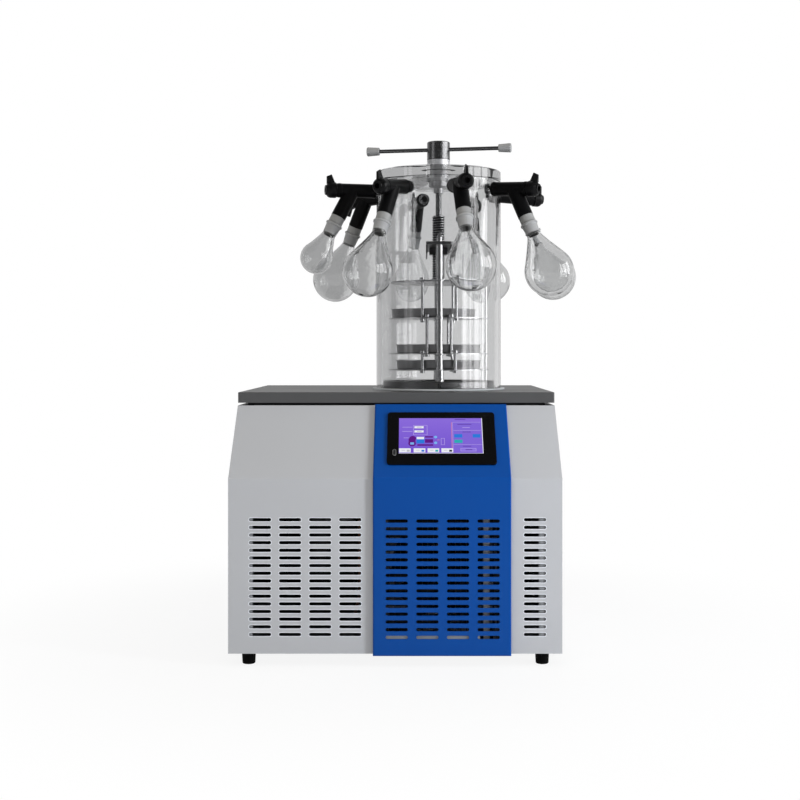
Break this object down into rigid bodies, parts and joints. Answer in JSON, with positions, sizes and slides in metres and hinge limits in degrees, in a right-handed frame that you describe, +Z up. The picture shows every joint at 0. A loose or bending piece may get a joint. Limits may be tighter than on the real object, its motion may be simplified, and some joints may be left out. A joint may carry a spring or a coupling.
{
  "type": "freeze dryer",
  "caption": "Bench freeze dryer: slotted cabinet with sloped touch screen, clear drying chamber with stacked trays, a screw press and flask valves round its rim.",
  "frame": {"origin": "on the floor, below the middle of the whole machine's outline", "axes": "+X to the user's right, +Y to the back of the cabinet, +Z up; the screen and slots face -Y"},
  "size_m": [0.6774, 0.656, 0.9985],
  "materials": {
    "panel_paint": "pale grey powder coat, fine texture",
    "blue_paint": "blue powder coat, satin",
    "worktop_coat": "mid grey satin coat",
    "zinc_sheet": "zinc-plated sheet",
    "foot_rubber": "matt black rubber",
    "spacer_black": "matt black plastic",
    "bezel_black": "black gloss plastic",
    "screen": "lit colour touch screen",
    "board_green": "circuit board",
    "black_plastic": "black moulded plastic",
    "compressor_black": "black gloss enamel",
    "aluminium_fin": "bare fins on tube",
    "copper": "bare copper tube",
    "foam": "rigid moulded foam",
    "stainless": "turned and brushed stainless steel",
    "tray_steel": "spun stainless steel, dull",
    "valve_brass": "nickel-plated brass",
    "lever_coat": "black dipped lever",
    "clear_acrylic": "clear polished acrylic",
    "seal_silicone": "translucent silicone",
    "valve_rubber": "moulded black rubber, satin",
    "knob_plastic": "moulded black plastic, satin",
    "adapter_plastic": "natural moulded plastic",
    "flask_glass": "clear blown glass, frosted neck",
    "cap_grey": "light grey moulded plastic"
  },
  "bodies": {
    "root": {"front_panel": "panel_paint", "left_side_panel": "panel_paint", "right_side_panel": "panel_paint", "rear_panel": "panel_paint", "blue_front_panel": "blue_paint", "worktop": "worktop_coat", "base_pan": "zinc_sheet", "fan_shroud": "zinc_sheet", "rubber_feet": "foot_rubber", "worktop_spacer": "spacer_black", "screen_bezel": "bezel_black", "screen_glass": "screen", "control_board": "board_green", "power_inlet": "black_plastic", "compressor": "compressor_black", "condenser_coil": "aluminium_fin", "evaporator_coil": "copper", "refrigerant_lines": "copper", "trap_insulation": "foam", "cold_trap": "stainless", "trap_collar": "stainless", "vacuum_port": "stainless", "port_stubs": "stainless", "gland": "stainless", "screw_nut": "stainless", "yoke": "stainless", "stand_posts": "stainless", "shelf_3": "stainless", "hangers_3": "stainless", "tray_3": "tray_steel", "drain_valve_body": "valve_brass", "chamber_tube": "clear_acrylic", "chamber_lid": "clear_acrylic", "base_seal": "seal_silicone", "valve_bodies": "valve_rubber", "flask_adapters": "adapter_plastic", "large_flasks": "flask_glass", "small_flask": "flask_glass"},
    "handle": {"handle_hub": "stainless", "handle_bar": "stainless", "handle_caps": "cap_grey"},
    "press": {"press_plate": "stainless"},
    "screw": {"press_screw": "stainless"},
    "shelf_upper": {"shelf_1": "stainless", "hangers_1": "stainless", "tray_1": "tray_steel"},
    "shelf_middle": {"shelf_2": "stainless", "hangers_2": "stainless", "tray_2": "tray_steel"},
    "fan": {"fan_blade": "black_plastic"},
    "rocker": {"power_switch": "black_plastic"},
    "drain_lever": {"drain_valve_handle": "lever_coat"},
    "knob_1": {"valve_knob_1": "knob_plastic"},
    "knob_2": {"valve_knob_2": "knob_plastic"},
    "knob_3": {"valve_knob_3": "knob_plastic"},
    "knob_4": {"valve_knob_4": "knob_plastic"},
    "knob_5": {"valve_knob_5": "knob_plastic"},
    "knob_6": {"valve_knob_6": "knob_plastic"},
    "knob_7": {"valve_knob_7": "knob_plastic"},
    "knob_8": {"valve_knob_8": "knob_plastic"}
  },
  "joints": [
    {"name": "handle_turn", "type": "hinge", "parent": "root", "child": "handle", "pos_m": [0.0453, 0.022, 0.94], "axis": [0, 0, -1], "range_deg": [0, 2160]},
    {"name": "press_slide", "type": "slide", "parent": "root", "child": "press", "axis": [0, 0, -1], "range_m": [0, 0.03]},
    {"name": "screw_turn", "type": "hinge", "parent": "press", "child": "screw", "pos_m": [0.0453, 0.022, 0.94], "axis": [0, 0, -1], "range_deg": [0, 2160.1]},
    {"name": "upper_shelf_slide", "type": "slide", "parent": "root", "child": "shelf_upper", "axis": [0, 0, -1], "range_m": [0, 0.02]},
    {"name": "middle_shelf_slide", "type": "slide", "parent": "root", "child": "shelf_middle", "axis": [0, 0, -1], "range_m": [0, 0.01]},
    {"name": "knob_1_turn", "type": "hinge", "parent": "root", "child": "knob_1", "pos_m": [0.09334, -0.19471, 0.89054], "axis": [0.2164, -0.976, -0.0262], "range_deg": [0, 180]},
    {"name": "knob_2_turn", "type": "hinge", "parent": "root", "child": "knob_2", "pos_m": [-0.06981, -0.16732, 0.88399], "axis": [-0.5171, -0.8505, -0.0958], "range_deg": [0, 180]},
    {"name": "knob_3_turn", "type": "hinge", "parent": "root", "child": "knob_3", "pos_m": [-0.16914, -0.03546, 0.89267], "axis": [-0.9659, -0.2588, -0.0035], "range_deg": [0, 180]},
    {"name": "knob_4_turn", "type": "hinge", "parent": "root", "child": "knob_4", "pos_m": [-0.14681, 0.13291, 0.88726], "axis": [-0.8644, 0.4991, -0.061], "range_deg": [0, 180]},
    {"name": "knob_5_turn", "type": "hinge", "parent": "root", "child": "knob_5", "pos_m": [0.23135, -0.09882, 0.88759], "axis": [0.8373, -0.5437, -0.0576], "range_deg": [0, 180]},
    {"name": "knob_6_turn", "type": "hinge", "parent": "root", "child": "knob_6", "pos_m": [0.25635, 0.09057, 0.8889], "axis": [0.9502, 0.3087, -0.0436], "range_deg": [0, 180]},
    {"name": "knob_7_turn", "type": "hinge", "parent": "root", "child": "knob_7", "pos_m": [-0.01214, 0.23638, 0.88972], "axis": [-0.2587, 0.9653, -0.0349], "range_deg": [0, 180]},
    {"name": "knob_8_turn", "type": "hinge", "parent": "root", "child": "knob_8", "pos_m": [0.14603, 0.21969, 0.88808], "axis": [0.4534, 0.8898, -0.0523], "range_deg": [0, 180]},
    {"name": "fan_spin", "type": "hinge", "parent": "root", "child": "fan", "pos_m": [0.0453, -0.238, 0.17], "axis": [0, 1, 0], "continuous": true},
    {"name": "rocker_tilt", "type": "hinge", "parent": "root", "child": "rocker", "pos_m": [-0.2587, 0.288, 0.14], "axis": [-1, 0, 0], "range_deg": [0, 16]},
    {"name": "drain_lever_turn", "type": "hinge", "parent": "root", "child": "drain_lever", "pos_m": [0.1113, 0.302, 0.086], "axis": [0, 0, -1], "range_deg": [0, 90]}
  ],
  "couplings": [
    {"joint": "press_slide", "follows": "handle_turn", "m_per_rad": 0.00079577},
    {"joint": "screw_turn", "follows": "handle_turn", "ratio": 1},
    {"joint": "upper_shelf_slide", "follows": "handle_turn", "m_per_rad": 0.00053052},
    {"joint": "middle_shelf_slide", "follows": "handle_turn", "m_per_rad": 0.00026526}
  ]
}
